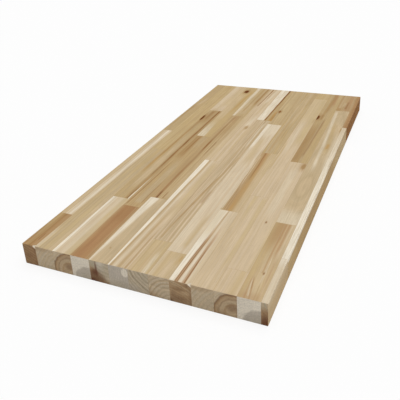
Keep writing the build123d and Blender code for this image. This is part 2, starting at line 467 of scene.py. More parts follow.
        Band("ivory", (300, 658), (-2, 3), 0.6, 1, then=(-2, 2), fades=(10, 5)),
        Band("bark", WHOLE, (15, 32), 0.33, 4, then=(10, 27), fades=(1, 2)),
        Band("caramel", WHOLE, (19, 28), 0.3, 4, then=(13, 23), fades=(1, 2)),
        Band("walnut", (440, 658), (19, 22), 0.58, 1.8, then=(12, 15.5), fades=(60, 2)),
        Band("russet", (520, 658), (20, 24), 0.6, 2, then=(15, 19), fades=(40, 2)),
        Band("straw", (297, 560), (34, 50), 0.5, 4, fades=(1, 90)),
    ), pith=(-140, 40), ring=6, lines=0.25),
    "stave_row_09_3": Stave(("fawn", "honey"), (
        Band("straw", (680, 1150), (5, 8), 0.7, 2, then=(8, 11), fades=(30, 90)),
        Band("tan", (660, 1080), (15, 20), 0.8, 2, then=(19, 24), fades=(20, 120)),
        Band("bark", (740, 900), (26, 29), 0.5, then=(28, 31), fades=(40, 50)),
        Band("straw", (900, 1270), (22, 34), 0.5, 5, fades=(60, 5)),
        Band("tan", (1000, 1140), (24, 27), 0.6, fades=(50, 50)),
        Band("tan", (1100, 1270), (36, 52), 0.5, 5, fades=(60, 5)),
    ), pith=(-120, 80), mix=1.0, ring=6, lines=0.35),
    "stave_row_10_1": Stave(("straw", "blush"), (
        Band("wheat", (240, 392), (14, 22), 0.6, 3, fades=(90, 2)),
        Band("blush", WHOLE, (24, 36), 0.5, 4),
        Band("wheat", (60, 392), (38, 50), 0.6, 4, fades=(60, 20)),
    ), pith=(108, 92), mix=0.7, lines=0.06, end=("end_straw", "end_tan"), end_lines=0.14, arcs=(5, 9),
        patches=(Patch("end_brown", 14, 3, 60, 16, 0.4, 0.7),)),
    "stave_row_10_2": Stave(("blush", "straw"), (
        Band("honey", (530, 780), (1, 6), 0.6, 2, fades=(60, 60)),
        Band("ivory", (640, 1000), (10, 22), 0.4, 6, fades=(90, 90)),
        Band("wheat", (700, 1196), (28, 52), 0.8, 7, then=(32, 52), fades=(100, 5)),
        Band("wheat", (860, 1196), (-2, 32), 0.55, 6, fades=(160, 5)),
        Band("tan", (930, 1000), (44, 50), 0.5, 3, fades=(30, 30)),
    ), pith=(130, 90), mix=0.8),
    "stave_row_10_3": Stave(("honey", "wheat"), (
        Band("straw", WHOLE, (34, 52), 0.15, 6),
    ), pith=(-100, 40), mix=0.6, lines=0.05),
    "stave_row_11_1": Stave(("blush", "straw"), (
        Band("wheat", WHOLE, (28, 48), 0.3, 3),
        Band("honey", WHOLE, (34, 44), 0.32, 3),
    ), pith=(40, 42), end=("end_straw", "end_tan"), end_lines=0.1, arcs=(4, 6), patches=(
        *heart_rings(47, 47), Patch("end_dark", 41, 34, 22, 20, 0.6, 0.6),
        Patch("end_dark", 51, 40, 5, 60, 0.4, 0.8), Patch("end_brown", 14, 54, 26, 14, 0.5, 0.8))),
    "stave_row_11_2": Stave(("blush", "straw"), (
        Band("wheat", (79, 330), (44, 52), 0.45, 3, fades=(5, 90)),
        Band("straw", (79, 520), (4, 9), 0.45, 3, then=(7, 12), fades=(20, 90)),
        Band("ivory", (280, 600), (14, 36), 0.4, 6, fades=(70, 60)),
        Spot("walnut", 277, 28, 8, 4, 0.75, 0.3, swell=2),
        Spot("bark", 600, 45, 34, 13, 0.9, 0.6, swell=5),
    ), pith=(150, 60), mix=0.6, lines=0.08),
    "stave_row_11_3": Stave(("olive", "honey"), (
        Band("bark", (622, 980), (-2, 23), 0.65, 2.5, then=(-2, 22), fades=(1, 120)),
        Band("walnut", (622, 900), (2, 14), 0.15, 4, fades=(20, 120)),
        Band("walnut", (650, 1010), (23, 28), 0.45, 2.8, then=(27, 33), fades=(40, 60)),
        Band("honey", WHOLE, (34, 52), 0.45, 4, then=(38, 52)),
        Band("bark", (1040, 1270), (14, 24), 0.8, 4, then=(18, 34), fades=(60, 5)),
        Band("russet", (1110, 1270), (24, 36), 0.5, 4, fades=(50, 5)),
        Band("bark", (950, 1110), (8, 17), 0.5, 4, then=(13, 24), fades=(50, 50)),
        Band("walnut", (970, 1050), (7, 15), 0.4, 3, then=(9, 18), fades=(30, 30)),
        Spot("umber", 1003, 3, 42, 11, 0.95, 0.8, swell=6),
    ), pith=(-130, 40), ring=6, lines=0.3, end=("end_straw", "end_tan"), end_lines=0.1, arcs=(4, 6),
        patches=heart_rings(6, 52)),
    "stave_row_12_1": Stave(("straw", "wheat"), (
        Band("honey", WHOLE, (-2, 10), 0.45, 4, then=(-2, 22)),
        Band("bark", (130, 286), (-2, 30), 0.42, 7, fades=(110, 1)),
        Band("russet", (150, 286), (8, 26), 0.3, 8, fades=(80, 1)),
        Band("russet", (0, 30), (2, 44), 0.3, 6, fades=(0.1, 22)),
        Band("ivory", (6, 68), (17, 21), 0.4, then=(11, 13), fades=(6, 16)),
        Band("russet", (0, 74), (12, 15), 0.45, 1.2, then=(9.5, 11.5), fades=(1, 20)),
        Band("russet", (0, 74), (22, 25), 0.6, 1.2, then=(13, 15), fades=(1, 12)),
        Band("walnut", (30, 62), (18.5, 20), 0.4, 0.8, then=(14.5, 16), fades=(10, 10)),
        Band("ivory", (40, 170), (29, 34), 0.3, 2, then=(31, 35), fades=(20, 60)),
        Band("russet", (84, 286), (25, 28), 0.5, 1.8, then=(25, 30), fades=(5, 5)),
        Band("russet", (40, 150), (41, 44), 0.35, 1.8, then=(42, 45), fades=(30, 50)),
        Band("russet", (130, 286), (34, 39), 0.55, 2, then=(33, 39), fades=(50, 1)),
        Band("blush", (120, 286), (40, 52), 0.4, 2, fades=(60, 1)),
        Spot("walnut", 86, 30, 8, 3.5, 0.7, 0.3, swell=2),
    ), pith=(50, 78), mix=0.9, lines=0.25, line_tone="russet", end=("end_cream", "end_cream"),
        end_lines=0.05, arcs=(4, 5), patches=(Patch("end_ash", 51, 68, 86, 88, 1.0, 0.08),
        Patch("end_olive", 54, 66, 60, 50, 0.4, 0.8))),
    "stave_row_12_2": Stave(("straw", "fawn"), (
        Band("ivory", (286, 370), (-3, 52), 0.6, 5, fades=(1, 50)),
        Band("ivory", (560, 1090), (20, 28), 0.7, 3, then=(2, 12), fades=(80, 40)),
        Band("honey", (690, 1000), (28, 42), 0.6, 5, then=(16, 26), fades=(50, 90)),
        Band("caramel", (735, 790), (27, 37), 0.5, 4, fades=(15, 20)),
        Band("ivory", (560, 900), (42, 52), 0.4, 4, fades=(60, 90)),
        Band("bark", (880, 930), (47, 52), fades=(15, 15)),
        Spot("tan", 455, 26, 130, 20, 0.0, 0.0, swell=18),
    ), pith=(28, 60), rise=0.04, lines=0.45, line_tone="olive"),
    "stave_row_12_3": Stave(("tan", "fawn"), (
        Band("bark", (1090, 1130), (4, 18), 0.8, 4, fades=(2, 20)),
        Band("bark", WHOLE, (-2, 6), 0.5, 3, fades=(1, 1)),
        Band("russet", (1095, 1270), (26, 46), 0.5, 4, then=(28, 44), fades=(5, 5)),
        Band("walnut", (1110, 1200), (28, 33), 0.6, 3, fades=(10, 20)),
        Band("fawn", (1130, 1190), (16, 26), 0.5, 5, fades=(20, 20)),
    ), pith=(-110, 60), ring=6, mix=0.6, lines=0.35, end=("end_cream", "end_ash"), end_lines=0.1),
    "stave_row_13_1": Stave(("blush", "ivory"), (
        Band("ivory", WHOLE, (-3, 16), 0.45, 2),
        Band("straw", WHOLE, (4, 62), 0.9, 2, by="Down"),
        Band("tan", WHOLE, (16, 62), 0.5, 10, by="Down"),
        Band("cream", (110, 150), (-8, 2), 0.5, fades=(30, 1), by="Down"),
    ), pith=(-120, 60), end=("end_tan", "end_olive"), end_lines=0.25, arcs=(4, 8), patches=(
        Patch("end_brown", 8, 44, 60, 60, 0.9, 0.35), Patch("end_dark", 10, 50, 30, 26, 0.7, 0.6),
        Patch("end_red", 12, 50, 24, 44, 0.6, 0.8), Patch("umber", 12, 55, 16, 20, 0.65, 0.8))),
    "stave_row_13_2": Stave(("tan", "honey"), (
        Band("cream", (150, 620), (-8, 10), 0.88, 3, then=(-8, 5), by="Down"),
        Band("cream", (619, 931), (-8, 6), 0.8, 4, then=(-8, 1), by="Down"),
        Band("straw", (440, 931), (-8, 1), 0.5, 3, fades=(400, 1), by="Down"),
        Band("bark", (200, 760), (6, 62), 0.35, 3, fades=(60, 120), by="Down"),
        Band("fawn", (640, 931), (8, 62), 0.5, 4, fades=(200, 1), by="Down"),
    ), pith=(-120, 60)),
    "stave_row_13_3": Stave(("russet", "bark"), (
        Band("tan", WHOLE, (-2, 5), 0.6, 3),
        Band("straw", WHOLE, (-1, 1), 0.5, 0.8),
        Band("walnut", WHOLE, (2, 62), 0.97, 2, by="Down"),
        Band("umber", WHOLE, (2, 30), 0.15, 6, by="Down"),
    ), pith=(-120, 60)),
}


def add(tree, kind, inputs=(), **settings):
    """Add one node with its settings, then set each socket or link it to another node.

    inputs are listed in the order of the node's sockets, or given by their names.
    """
    made = tree.nodes.new(kind)
    for name, value in settings.items():
        setattr(made, name, value)
    pairs = inputs.items() if isinstance(inputs, dict) else enumerate(inputs)
    for key, value in pairs:
        sockets = [socket for socket in made.inputs if socket.enabled]
        socket = made.inputs[key] if isinstance(key, int) else next(s for s in sockets if s.name == key)
        if isinstance(value, bpy.types.Node):
            value = next(output for output in value.outputs if output.enabled)
        if isinstance(value, bpy.types.NodeSocket):
            tree.links.new(value, socket)
        else:
            socket.default_value = value
    return made


def start_group(name, inputs, outputs):
    """Make a node group with number sockets, and give back the group and its input node."""
    group = bpy.data.node_groups.new(name, "ShaderNodeTree")
    for words in inputs:
        group.interface.new_socket(words, in_out="INPUT", socket_type="NodeSocketFloat")
    for words in outputs:
        group.interface.new_socket(words, in_out="OUTPUT", socket_type="NodeSocketFloat")
    return group, group.nodes.new("NodeGroupInput").outputs


MATH = "ShaderNodeMath"
RAMP = "ShaderNodeMapRange"
NOISE = "ShaderNodeTexNoise"

# The grain wanders over about a quarter of a metre along, and over the stave's width across
WANDER_ALONG = 240.0
WANDER_ACROSS = 60.0
# Noise stays near its middle, so it is stretched to let the grain wander as far as the waver says
WANDER_REACH = 4.0

# Share of their distance from a knot's middle by which fibres part round it
PARTING = 0.7
# Cover of a band where the noise of the fibres is 0, as a share of the band's strength
LEAST_COVER = 0.55
# How far the rim of a spot strays, as a share of its half size
RIM_UNEVEN = 0.4


def place_in_log():
    """Node group: where a point lies in its stave and in the tree the stave was sawn from.

    Meets is the distance across at which the point's growth ring comes up through the worktop, so a
    mark laid on it follows the rings down the end grain.
    """
    group, given = start_group(
        "place in log",
        ("Back side", "Left end", "Top", "Middle", "Pith across", "Pith down", "Rise", "Seed", "Waver"),
        ("Along", "Across", "Down", "Radius", "Meets"))
    point = add(group, "ShaderNodeSeparateXYZ", [add(group, "ShaderNodeTexCoord").outputs["Object"]]).outputs
    placed = []
    for far, near in ((point["X"], given["Left end"]), (given["Back side"], point["Y"]),
                      (given["Top"], point["Z"])):
        metres = add(group, MATH, [far, near], operation="SUBTRACT")
        placed.append(add(group, MATH, [metres, MM], operation="DIVIDE"))
    along, across, down = placed

    slow = add(group, "ShaderNodeCombineXYZ", [
        add(group, MATH, [along, WANDER_ALONG], operation="DIVIDE"),
        add(group, MATH, [across, WANDER_ACROSS], operation="DIVIDE"),
        add(group, MATH, [down, 1 / WANDER_ACROSS, given["Seed"]], operation="MULTIPLY_ADD"),
    ])
    wander = add(group, NOISE, {"Vector": slow, "Scale": 1.0, "Detail": 3.0}, noise_dimensions="3D")
    swing = add(group, "ShaderNodeSeparateColor", [wander.outputs["Color"]]).outputs
    reach = add(group, MATH, [given["Waver"], WANDER_REACH], operation="MULTIPLY")
    least = add(group, MATH, [given["Waver"], -WANDER_REACH / 2], operation="MULTIPLY")
    sideways, updown = [add(group, MATH, [swing[channel], reach, least], operation="MULTIPLY_ADD")
                        for channel in ("Red", "Green")]

    shifted = add(group, MATH, [across, sideways], operation="ADD")
    aside = add(group, MATH, [shifted, given["Pith across"]], operation="SUBTRACT")
    further = add(group, MATH, [along, given["Middle"]], operation="SUBTRACT")
    dip = add(group, MATH, [further, given["Rise"], given["Pith down"]], operation="MULTIPLY_ADD")
    depth = add(group, MATH, [dip, updown], operation="ADD")
    above = add(group, MATH, [depth, down], operation="SUBTRACT")
    aside_square = add(group, MATH, [aside, aside], operation="MULTIPLY")
    square = add(group, MATH, [above, above, aside_square], operation="MULTIPLY_ADD")
    radius = add(group, MATH, [square], operation="SQRT")

    depth_square = add(group, MATH, [depth, depth], operation="MULTIPLY")
    rest = add(group, MATH, [square, depth_square], operation="SUBTRACT")
    rest = add(group, MATH, [rest, 0.0], operation="MAXIMUM")
    half_chord = add(group, MATH, [rest], operation="SQRT")
    side = add(group, MATH, [aside], operation="SIGN")
    meets = add(group, MATH, [half_chord, side, given["Pith across"]], operation="MULTIPLY_ADD")
    add(group, "NodeGroupOutput", [along, across, down, radius, meets])
    return group


def flow_round():
    """Node group: rings that swell and fibres that part round a knot or an eye in the grain."""
    group, given = start_group(
        "grain round a knot",
        ("Along", "Across", "Radius", "Meets", "Centre along", "Centre across", "Half length",
         "Half width", "Swell"),
        ("Radius", "Meets"))
    before = add(group, MATH, [given["Along"], given["Centre along"]], operation="SUBTRACT")
    aside = add(group, MATH, [given["Across"], given["Centre across"]], operation="SUBTRACT")
    u = add(group, MATH, [before, given["Half length"]], operation="DIVIDE")
    v = add(group, MATH, [aside, given["Half width"]], operation="DIVIDE")
    square = add(group, MATH, [v, v], operation="MULTIPLY")
    square = add(group, MATH, [u, u, square], operation="MULTIPLY_ADD")
    minus = add(group, MATH, [square, -1.0], operation="MULTIPLY")
    near = add(group, MATH, [minus], operation="EXPONENT")
    radius = add(group, MATH, [near, given["Swell"], given["Radius"]], operation="MULTIPLY_ADD")
    squeeze = add(group, MATH, [near, -PARTING], operation="MULTIPLY")
    meets = add(group, MATH, [aside, squeeze, given["Meets"]], operation="MULTIPLY_ADD")
    add(group, "NodeGroupOutput", [radius, meets])
    return group


def lay_band():
    """Node group: how much a band that runs along the grain covers a point, from 0 to 1."""
    group, given = start_group(
        "band along the grain",
        ("Along", "Across", "Start", "Stop", "Low", "High", "Low then", "High then", "Soft",
         "Fade in", "Fade out", "Strength", "Fibres"),
        ("Cover",))
    low, high = [
        add(group, RAMP, {"Value": given["Along"], "From Min": given["Start"], "From Max": given["Stop"],
                          "To Min": given[side], "To Max": given[f"{side} then"]})
        for side in ("Low", "High")]
    minus = add(group, MATH, [given["Soft"], -1.0], operation="MULTIPLY")
    # For each side of the band: two places whose distance is above 0 inside, and the ramp it goes through
    sides = (
        (given["Across"], low, minus, given["Soft"]),
        (high, given["Across"], minus, given["Soft"]),
        (given["Along"], given["Start"], 0.0, given["Fade in"]),
        (given["Stop"], given["Along"], 0.0, given["Fade out"]),
    )
    cover = given["Strength"]
    for far, near, none, full in sides:
        inside = add(group, MATH, [far, near], operation="SUBTRACT")
        part = add(group, RAMP, {"Value": inside, "From Min": none, "From Max": full},
                   interpolation_type="SMOOTHSTEP")
        cover = add(group, MATH, [cover, part], operation="MULTIPLY")
    # Fibres break the band up, more where it is weak
    rough = add(group, MATH, [given["Fibres"], 1.0, LEAST_COVER], operation="MULTIPLY_ADD")
    cover = add(group, MATH, [cover, rough], operation="MULTIPLY", use_clamp=True)
    add(group, "NodeGroupOutput", [cover])
    return group


def lay_spot():
    """Node group: how much an ellipse covers a point, from 0 to 1, with a soft uneven rim."""
    group, given = start_group(
        "spot", ("U", "V", "Centre U", "Centre V", "Half U", "Half V", "Soft", "Strength", "Uneven"),
        ("Cover",))
    shares = []
    for axis in ("U", "V"):
        away = add(group, MATH, [given[axis], given[f"Centre {axis}"]], operation="SUBTRACT")
        shares.append(add(group, MATH, [away, given[f"Half {axis}"]], operation="DIVIDE"))
    u, v = shares
    square = add(group, MATH, [v, v], operation="MULTIPLY")
    square = add(group, MATH, [u, u, square], operation="MULTIPLY_ADD")
    reach = add(group, MATH, [square], operation="SQRT")
    reach = add(group, MATH, [given["Uneven"], RIM_UNEVEN, reach], operation="MULTIPLY_ADD")
    rim = 1 + RIM_UNEVEN / 2
    inner = add(group, MATH, [rim, given["Soft"]], operation="SUBTRACT")
    outer = add(group, MATH, [rim, given["Soft"]], operation="ADD")
    cover = add(group, RAMP, {"Value": reach, "From Min": inner, "From Max": outer,
                              "To Min": given["Strength"], "To Max": 0.0}, interpolation_type="SMOOTHSTEP")
    add(group, "NodeGroupOutput", [cover])
    return group


GROUP_MAKERS = {"place": place_in_log, "flow": flow_round, "band": lay_band, "spot": lay_spot}


def shared_groups():
    """The node groups that all staves use, made once."""
    known = {}
    for maker, make in GROUP_MAKERS.items():
        name = f"countertop_{maker}"
        if name not in bpy.data.node_groups:
            make().name = name
        known[maker] = bpy.data.node_groups[name]
    return known


class StaveWood:
    """Planed, sanded and thinly oiled acacia, one material for each stave.

    Acacia is a hard, medium-textured wood with sharp changes between white sapwood and brown
    heartwood. Planing and sanding leave it flat with open pores, and a thin oil soaks in and leaves
    hardly any sheen, even along the surface: an IOR near that of cellulose, 1.5, a roughness of 0.85,
    and much less than the usual share of reflected light, because the raised fibres scatter it.
    """

    IOR = 1.5
    SPECULAR_LEVEL = 0.05
    ROUGHNESS = 0.85
    ROUGHNESS_SPREAD = 0.12
    BUMP_STRENGTH = 0.5

    # Lightness of the wood, and what fibres, clouds and pores add to it
    LIGHTNESS = 0.88
    FIBRE_LIGHT = 0.17
    CLOUD_LIGHT = 0.08
    PORE_LIGHT = -0.16

    # Noise: its roughness, and the values that count as 0 and 1, for most figure and for sparse pores
    NOISE_ROUGHNESS = 0.68
    MIDDLE = (0.3, 0.7)
    PEAKS = (0.6, 0.74)
    # Streaks and fibres go this many times as deep as they are wide
    DEPTH = 4
    # Soft clouds half as wide as a stave, from uneven colour in the tree, in millimetres
    CLOUD_SIZE = (110.0, 26.0, 26.0)
    # Light and dark flecks on the end grain, in millimetres
    MOTTLE_SIZE = (400.0, 3.0, 3.0)

    # Growth rings: noise of their tone, unevenness of their width, and how late the late wood comes
    RING_DETAIL = 3.0
    RING_ROUGHNESS = 0.6
    RING_UNEVEN = 1.6
    LATE_POWER = 3.0
    # Sum of rings and streaks at which the second colour starts and is full
    SHARE = (0.5, 1.5)

    # Reach of the grain's flow round a knot, as shares of the knot's length and width
    FLOW_REACH = (1.1, 1.3)
    # A knot's halo and its dark heart: half size as a share of the knot's size, and softness
    HALO = (0.85, 0.6)
    HEART = (0.5, 0.35)

    # How squarely a face looks along the slab where end grain starts and is full
    END_FACING = (0.55, 0.85)
    END_SATURATION = 0.72
    END_VALUE = 0.8
    # Least shade of the end grain, and what its flecks add
    END_SHADE = (0.88, 0.24)
    # Least unevenness of a patch's rim, and what the clouds add
    PATCH_UNEVEN = (0.35, 0.3)
    # Shift of the rings on end grain by flecks and by clouds, in rings
    RING_SHIFTS = (0.22, 0.5)
    # Share of end_lines that the palest and the darkest year show
    RING_PLAIN = (0.4, 1.4)
    # Distances from a dark ring's middle where it is full and where it is gone, in rings
    RING_SIDES = (0.02, 0.36)

    # Lean of a chip's face where fresh wood starts and is full, and how much it covers
    CHIP_LEAN = (0.2, 0.3)
    CHIP_COVER = 0.95
    # How much the dark tone covers in the middle of a glue line
    GLUE_DARK = 0.55

    def __init__(self, node, stave, seed, scene):
        self.stave = stave
        self.seed = seed
        self.tones = scene.countertop_tones
        self.sizes = scene.countertop_grain
        self.groups = shared_groups()
        self.material = bpy.data.materials.new(f"acacia_{node}")
        self.material.use_nodes = True
        self.tree = self.material.node_tree
        self.tree.nodes.clear()
        self.low, self.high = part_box(node)
        self.start = (self.low.x - cad_low.x) / MM
        self.stop = (self.high.x - cad_low.x) / MM

    def colour(self, name):
        """One wood tone with full alpha."""
        return (*getattr(self.tones, name), 1.0)

    def add(self, kind, inputs=(), **settings):
        """Add a node to this stave's own tree."""
        return add(self.tree, kind, inputs, **settings)

    def paint(self, under, tone_name, cover):
        """Lay a wood tone over what is under it."""
        return self.add("ShaderNodeMix", {"Factor": cover, "A": under, "B": self.colour(tone_name)},
                        data_type="RGBA")

    def find_place(self):
        """Work out where the point lies in the stave and in the tree, with the knots pushed in."""
        across, down = self.stave.pith
        placed = self.add("ShaderNodeGroup", {
            "Back side": self.high.y, "Left end": cad_low.x, "Top": cad_high.z,
            "Middle": (self.start + self.stop) / 2, "Pith across": across, "Pith down": down,
            "Rise": self.stave.rise, "Seed": self.seed, "Waver": self.sizes.waver / MM,
        }, node_tree=self.groups["place"]).outputs
        self.place = {output.name: output for output in placed}
        reach_along, reach_across = self.FLOW_REACH
        for mark in self.stave.marks:
            if isinstance(mark, Spot) and mark.swell:
                flowing = self.add("ShaderNodeGroup", {
                    **{name: self.place[name] for name in ("Along", "Across", "Radius", "Meets")},
                    "Centre along": mark.along, "Centre across": mark.across,
                    "Half length": reach_along * mark.length, "Half width": reach_across * mark.width,
                    "Swell": mark.swell,
                }, node_tree=self.groups["flow"]).outputs
                self.place.update({output.name: output for output in flowing})

    def noise(self, lengths, side, detail, spread=MIDDLE):
        """Noise from 0 to 1 whose cells have the given lengths in millimetres."""
        along, across, down = [
            self.add(MATH, [self.place[name], 1 / length], operation="MULTIPLY")
            for name, length in zip(("Along", side, "Down"), lengths)]
        along = self.add(MATH, [along, self.seed], operation="ADD")
        place = self.add("ShaderNodeCombineXYZ", [along, across, down])
        made = self.add(NOISE, {"Vector": place, "Scale": 1.0, "Detail": detail,
                                "Roughness": self.NOISE_ROUGHNESS}, noise_dimensions="3D")
        low, high = spread
        return self.add(RAMP, {"Value": made, "From Min": low, "From Max": high})

    def find_figure(self):
        """Rings, late wood lines, streaks, fibres, pores and clouds as numbers from 0 to 1."""
        turn = self.add(MATH, [self.place["Radius"], 1 / self.stave.ring, self.seed],
                        operation="MULTIPLY_ADD")
        years = self.add(NOISE, {"W": turn, "Scale": 1.0, "Detail": self.RING_DETAIL,
                                 "Roughness": self.RING_ROUGHNESS}, noise_dimensions="1D")
        low, high = self.MIDDLE
        self.rings = self.add(RAMP, {"Value": years, "From Min": low, "From Max": high})
        uneven = self.add(MATH, [years, self.RING_UNEVEN, turn], operation="MULTIPLY_ADD")
        within = self.add(MATH, [uneven], operation="FRACT")
        self.late = self.add(MATH, [within, self.LATE_POWER], operation="POWER")

        sizes = self.sizes
        width, length = sizes.streak_width / MM, sizes.streak_length / MM
        self.streaks = self.noise((length, width, self.DEPTH * width), "Meets", detail=3.0)
        width, length = sizes.fibre_width / MM, sizes.fibre_length / MM
        self.fibres = self.noise((length, width, self.DEPTH * width), "Meets", detail=4.0)
        width, length = sizes.pore_width / MM, sizes.pore_length / MM
        self.pores = self.noise((length, width, width), "Across", detail=1.0, spread=self.PEAKS)
        self.clouds = self.noise(self.CLOUD_SIZE, "Across", detail=2.0)

    def along_the_grain(self):
        """Colour of the worktop, the long edges and the underside."""
        main, second = self.stave.tones
        both = self.add(MATH, [self.rings, self.streaks], operation="ADD")
        low, high = self.SHARE
        share = self.add(RAMP, {"Value": both, "From Min": low, "From Max": high, "To Max": self.stave.mix},
                         interpolation_type="SMOOTHSTEP")
        colour = self.paint(self.colour(main), second, share)
        dark = self.add(MATH, [self.late, self.stave.lines], operation="MULTIPLY")
        colour = self.paint(colour, self.stave.line_tone, dark)
        for mark in self.stave.marks:
            if isinstance(mark, Band):
                colour = self.paint(colour, mark.tone, self.band_cover(mark))
            elif mark.strength:
                colour = self.spot_on(colour, mark)
        return colour

    def band_cover(self, mark):
        """How much a band covers."""
        start, stop = mark.along or (self.start, self.stop)
        low, high = mark.across
        low_then, high_then = mark.then or mark.across
        fade_in, fade_out = mark.fades
        return self.add("ShaderNodeGroup", {
            "Along": self.place["Along"], "Across": self.place[mark.by], "Start": start, "Stop": stop,
            "Low": low, "High": high, "Low then": low_then, "High then": high_then, "Soft": mark.soft,
            "Fade in": fade_in, "Fade out": fade_out, "Strength": mark.strength, "Fibres": self.fibres,
        }, node_tree=self.groups["band"])

    def ellipse(self, axes, centre, halves, soft, strength, uneven):
        """How much an ellipse covers."""
        return self.add("ShaderNodeGroup", [
            *(self.place[axis] for axis in axes), *centre, *halves, soft, strength, uneven,
        ], node_tree=self.groups["spot"])

    def spot_on(self, colour, mark):
        """A knot: a broad brown halo with a dark heart in it."""
        for (size, soft), tone_name, strength in ((self.HALO, "bark", mark.halo),
                                                  (self.HEART, mark.tone, mark.strength)):
            cover = self.ellipse(("Along", "Across"), (mark.along, mark.across),
                                 (mark.length * size, mark.width * size), soft, strength, self.fibres)
            colour = self.paint(colour, tone_name, cover)
        return colour

    def across_the_grain(self, colour):
        """Lay the end-grain tones over the two end faces: darker, greyer and more plainly ringed."""
        normal = self.add("ShaderNodeSeparateXYZ", [self.add("ShaderNodeNewGeometry").outputs["Normal"]])
        facing = self.add(MATH, [normal.outputs["X"]], operation="ABSOLUTE")
        low, high = self.END_FACING
        on_end = self.add(RAMP, {"Value": facing, "From Min": low, "From Max": high})
        mottle = self.noise(self.MOTTLE_SIZE, "Across", detail=3.0)
        if self.stave.end:
            end = self.end_tones()
        else:
            end = self.add("ShaderNodeHueSaturation", {
                "Saturation": self.END_SATURATION, "Value": self.END_VALUE, "Color": colour})
        end = self.paint(end, "end_dark", self.end_rings(mottle))
        least, spread = self.END_SHADE
        shade = self.add(MATH, [mottle, spread, least], operation="MULTIPLY_ADD")
        end = self.add("ShaderNodeHueSaturation", {"Value": shade, "Color": end})
        colour = self.add("ShaderNodeMix", {"Factor": on_end, "A": colour, "B": end}, data_type="RGBA")
        if self.stave.chipped:
            # Only the broken face of a chip leans both to the end and to the side
            lean = self.add(MATH, [normal.outputs["X"], normal.outputs["Y"]], operation="MULTIPLY")
            low, high = self.CHIP_LEAN
            fresh = self.add(RAMP, {"Value": lean, "From Min": low, "From Max": high,
                                    "To Max": self.CHIP_COVER})
            colour = self.paint(colour, "cream", fresh)
        return colour

    def end_tones(self):
        """The end grain's own two tones with its stains, arcs and cracks."""
        main, second = self.stave.end
        end = self.paint(self.colour(main), second, self.rings)
        least, spread = self.PATCH_UNEVEN
        uneven = self.add(MATH, [self.clouds, spread, least], operation="MULTIPLY_ADD")
        for patch in self.stave.patches:
            cover = self.ellipse(("Across", "Down"), (patch.across, patch.down),
                                 (patch.width / 2, patch.height / 2), patch.soft, patch.strength, uneven)
            end = self.paint(end, patch.tone, cover)
        return end

    def end_rings(self, mottle):
        """Dark rings on the end grain, at the radii that the stave's arcs give."""
        first, spacing = self.stave.arcs
        turn = self.add(MATH, [self.place["Radius"], 1 / spacing, -first / spacing],
                        operation="MULTIPLY_ADD")
        for waves, shift in zip((mottle, self.clouds), self.RING_SHIFTS):
            turn = self.add(MATH, [waves, shift, turn], operation="MULTIPLY_ADD")
        away = self.add(MATH, [turn, 0.5], operation="PINGPONG")
        # Some years' late wood is darker than others'
        pale, dark = [share * self.stave.end_lines for share in self.RING_PLAIN]
        plain = self.add(RAMP, {"Value": self.rings, "To Min": pale, "To Max": dark})
        inner, outer = self.RING_SIDES
        return self.add(RAMP, {"Value": away, "From Min": inner, "From Max": outer, "To Min": plain,
                               "To Max": 0.0}, interpolation_type="SMOOTHSTEP")

    def glue_lines(self, colour):
        """Darken a hairline where this stave meets its neighbours."""
        width = self.sizes.glue_line / MM
        edges = (
            ("Across", 0.0, self.high.y < cad_high.y - MM),
            ("Across", (self.high.y - self.low.y) / MM, self.low.y > cad_low.y + MM),
            ("Along", self.start, self.low.x > cad_low.x + MM),
            ("Along", self.stop, self.high.x < cad_high.x - MM),
        )
        nearest = width
        for name, line, meets_stave in edges:
            if meets_stave:
                away = self.add(MATH, [self.place[name], line], operation="SUBTRACT")
                away = self.add(MATH, [away], operation="ABSOLUTE")
                nearest = self.add(MATH, [nearest, away], operation="MINIMUM")
        cover = self.add(RAMP, {"Value": nearest, "From Min": 0.0, "From Max": width,
                                "To Min": self.GLUE_DARK, "To Max": 0.0})
        return self.paint(colour, "walnut", cover)

    def finish(self, colour):
        """Add the light and dark of fibres, clouds and pores, then the sheen and the relief."""
        value = self.LIGHTNESS
        for part, light in ((self.fibres, self.FIBRE_LIGHT), (self.clouds, self.CLOUD_LIGHT),
                            (self.pores, self.PORE_LIGHT)):
            value = self.add(MATH, [part, light, value], operation="MULTIPLY_ADD")
        colour = self.add("ShaderNodeHueSaturation", {"Value": value, "Color": colour})
        rough = self.add(MATH, [self.fibres, self.ROUGHNESS_SPREAD,
                                self.ROUGHNESS - self.ROUGHNESS_SPREAD / 2], operation="MULTIPLY_ADD")
        height = self.add(MATH, [self.pores, -1.0, self.fibres], operation="MULTIPLY_ADD")
        bump = self.add("ShaderNodeBump", {"Strength": self.BUMP_STRENGTH, "Distance": self.sizes.relief,
                                           "Height": height})
        surface = self.add("ShaderNodeBsdfPrincipled", {
            "Base Color": colour, "Roughness": rough, "IOR": self.IOR,
            "Specular IOR Level": self.SPECULAR_LEVEL, "Normal": bump})
        self.add("ShaderNodeOutputMaterial", {"Surface": surface})

    def make(self):
        """Build the whole material."""
        self.find_place()
        self.find_figure()
        colour = self.along_the_grain()
        colour = self.across_the_grain(colour)
        colour = self.glue_lines(colour)
        self.finish(colour)
        return self.material


class COUNTERTOP_OT_row_staves(bpy.types.Operator):
    """Give every stave of one row its own oiled acacia"""

    bl_idname = "countertop.row_staves"
    bl_label = "Dress a Row of Staves"

    # Keeps the noise of one stave well away from that of the next
    SEED_STEP = 3.7

    row: bpy.props.IntProperty(name="Row", description="Row of staves, from the back edge", default=1, min=1)

    def execute(self, context):
        names = sorted(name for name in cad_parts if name.startswith(f"stave_row_{self.row:02d}_"))
        if not names:
            raise RuntimeError(f"the slab has no row {self.row}")
        for name in names:
            seed = self.SEED_STEP * sorted(STAVES).index(name)
            material = StaveWood(name, STAVES[name], seed, context.scene).make()
            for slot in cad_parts[name].material_slots:
                slot.material = material
        return {"FINISHED"}


